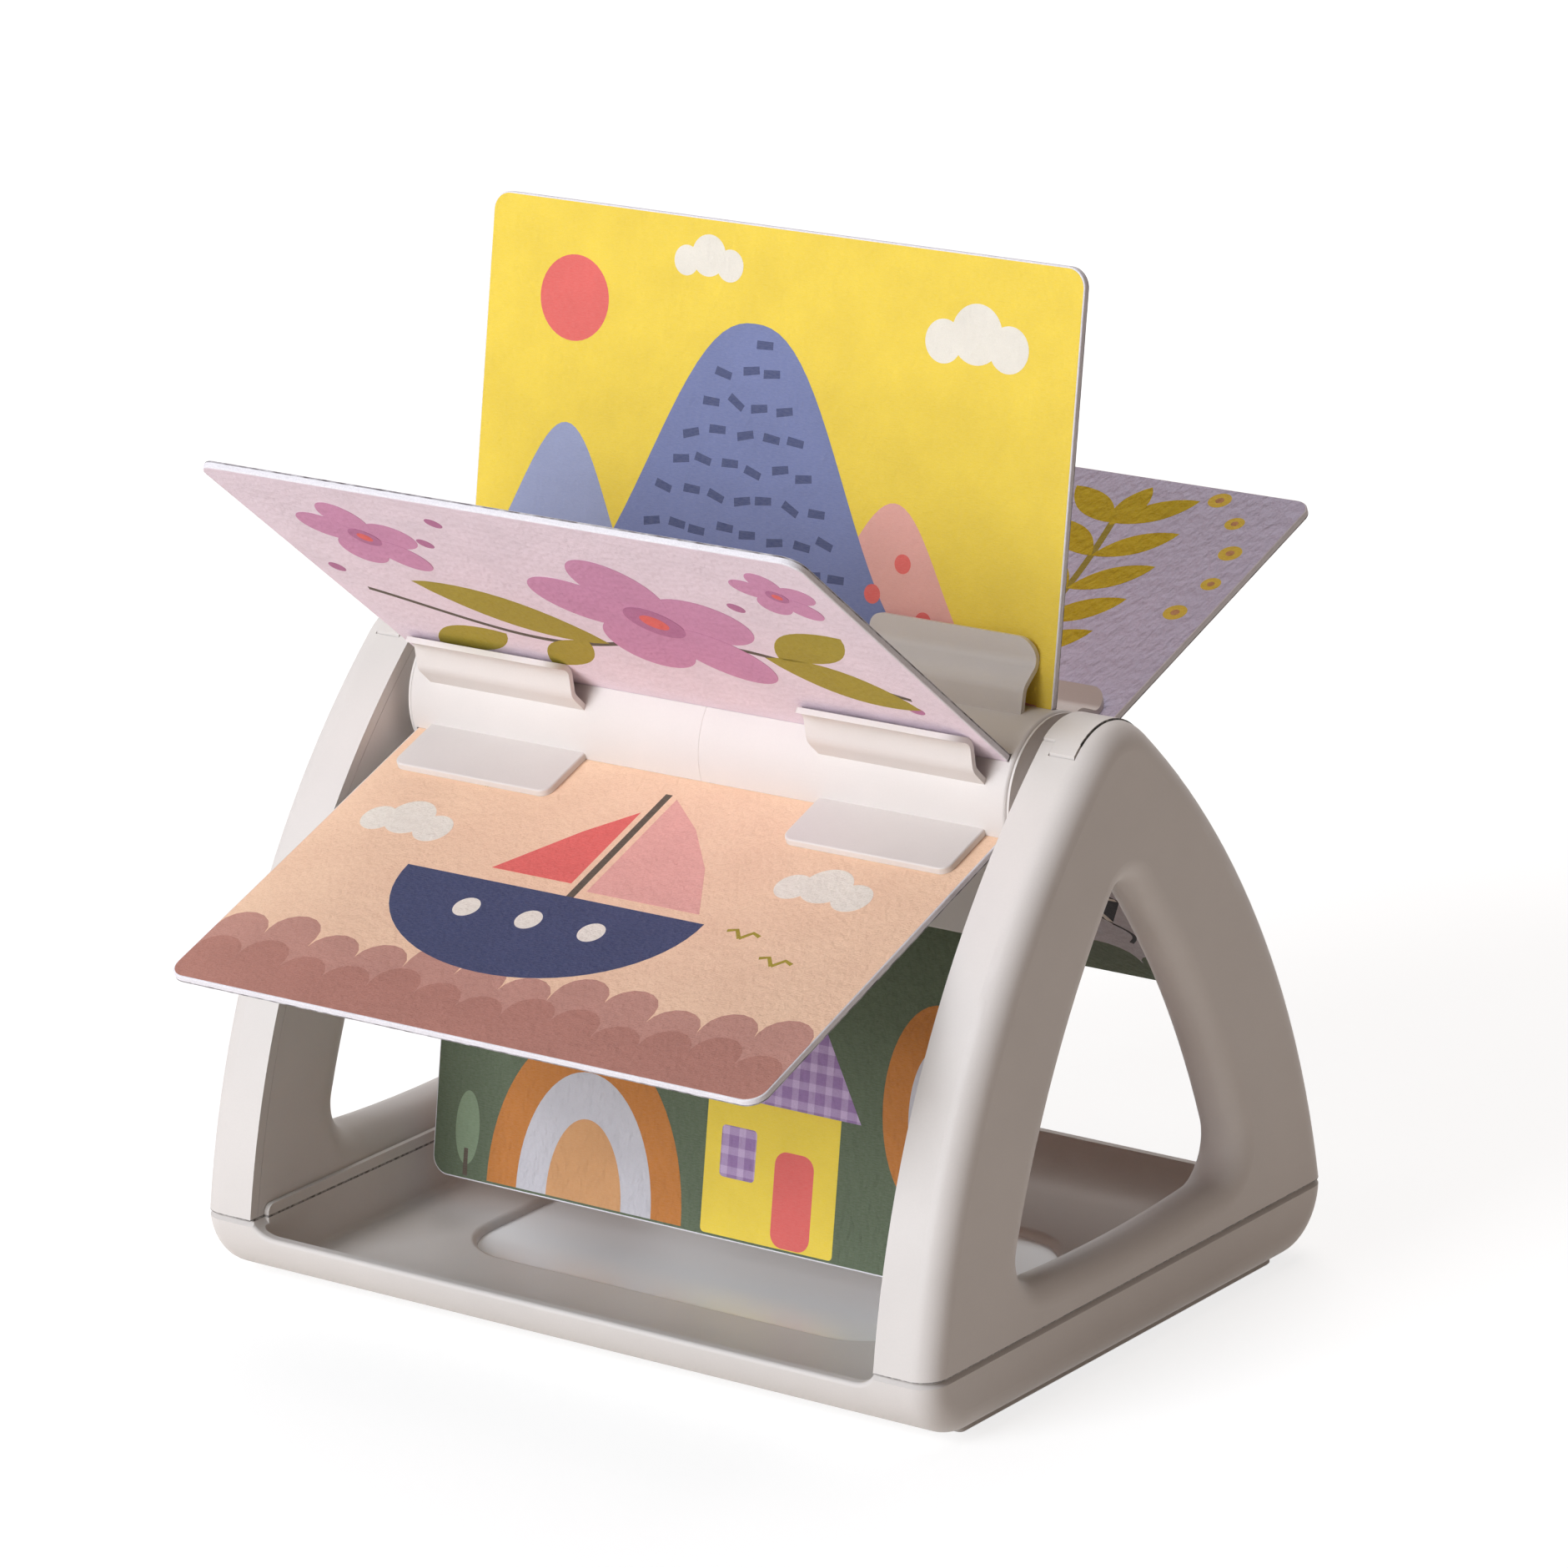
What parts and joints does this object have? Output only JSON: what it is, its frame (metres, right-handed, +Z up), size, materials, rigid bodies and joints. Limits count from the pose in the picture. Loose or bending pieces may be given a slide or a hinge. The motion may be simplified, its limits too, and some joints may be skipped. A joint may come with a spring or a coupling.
{
  "type": "tummy time card carousel",
  "caption": "Free-standing tummy-time book: double-sided picture cards on a drum that turns between two arches above a mirrored tray.",
  "frame": {"origin": "on the floor under the middle of the drum, the middle of the whole object's footprint", "axes": "+X along the drum to the right, -Y towards the baby, +Z up"},
  "size_m": [0.1886, 0.1978, 0.2188],
  "materials": {
    "frame_plastic": "warm light grey moulded plastic, satin",
    "drum_plastic": "warm light grey moulded plastic, satin",
    "mirror_sheet": "silvered plastic mirror sheet",
    "screw_steel": "zinc-plated steel screws",
    "board_lavender": "printed laminated board with a felt-like grain and white edges",
    "board_yellow": "printed laminated board with a felt-like grain and white edges",
    "board_pink": "printed laminated board with a felt-like grain and white edges",
    "board_peach": "printed laminated board with a felt-like grain and white edges",
    "board_green": "printed laminated board with a felt-like grain and white edges",
    "board_grey": "printed laminated board with a felt-like grain and white edges"
  },
  "bodies": {
    "stand": {"tray": "frame_plastic", "bottom_plate": "frame_plastic", "left_arch_shell": "frame_plastic", "right_arch_shell": "frame_plastic", "left_arch_panel": "frame_plastic", "right_arch_panel": "frame_plastic", "left_bearing_cap": "frame_plastic", "right_bearing_cap": "frame_plastic", "mirror": "mirror_sheet", "arch_screws": "screw_steel", "plate_screws": "screw_steel"},
    "carousel": {"left_drum_half": "drum_plastic", "right_drum_half": "drum_plastic", "left_drum_end": "drum_plastic", "right_drum_end": "drum_plastic", "card_back_upper": "board_lavender", "card_top": "board_yellow", "card_front_upper": "board_pink", "card_front_lower": "board_peach", "card_bottom": "board_green", "card_back_lower": "board_grey"}
  },
  "joints": [
    {"name": "carousel_spin", "type": "hinge", "parent": "stand", "child": "carousel", "pos_m": [0, 0, 0.115], "axis": [1, 0, 0], "continuous": true}
  ]
}
